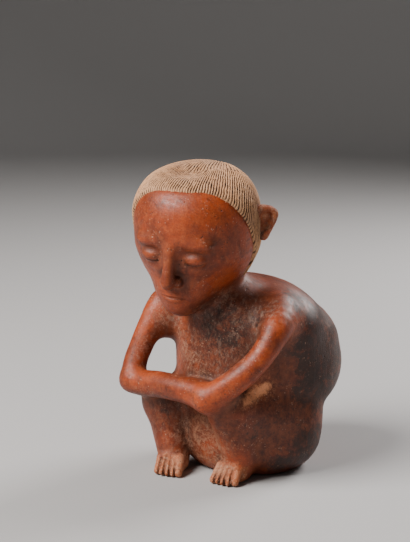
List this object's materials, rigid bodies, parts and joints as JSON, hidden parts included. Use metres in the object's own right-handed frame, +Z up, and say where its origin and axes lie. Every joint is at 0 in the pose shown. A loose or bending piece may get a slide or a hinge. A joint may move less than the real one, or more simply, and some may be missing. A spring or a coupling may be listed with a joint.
{
  "type": "seated clay figure",
  "caption": "Hollow clay figure seated with drawn-up knees and folded arms, burnished red with combed buff hair; stands by its own weight.",
  "frame": {"origin": "middle of the figure's box, on the surface it stands on", "axes": "+Z up, the figure faces -Y, its left side is +X"},
  "size_m": [0.1124, 0.145, 0.1975],
  "materials": {
    "clay": "burnished red slip on fired clay, bare buff clay on the hair, dark fire clouds and worn feet"
  },
  "bodies": {
    "root": {"figure": "clay"}
  },
  "joints": []
}
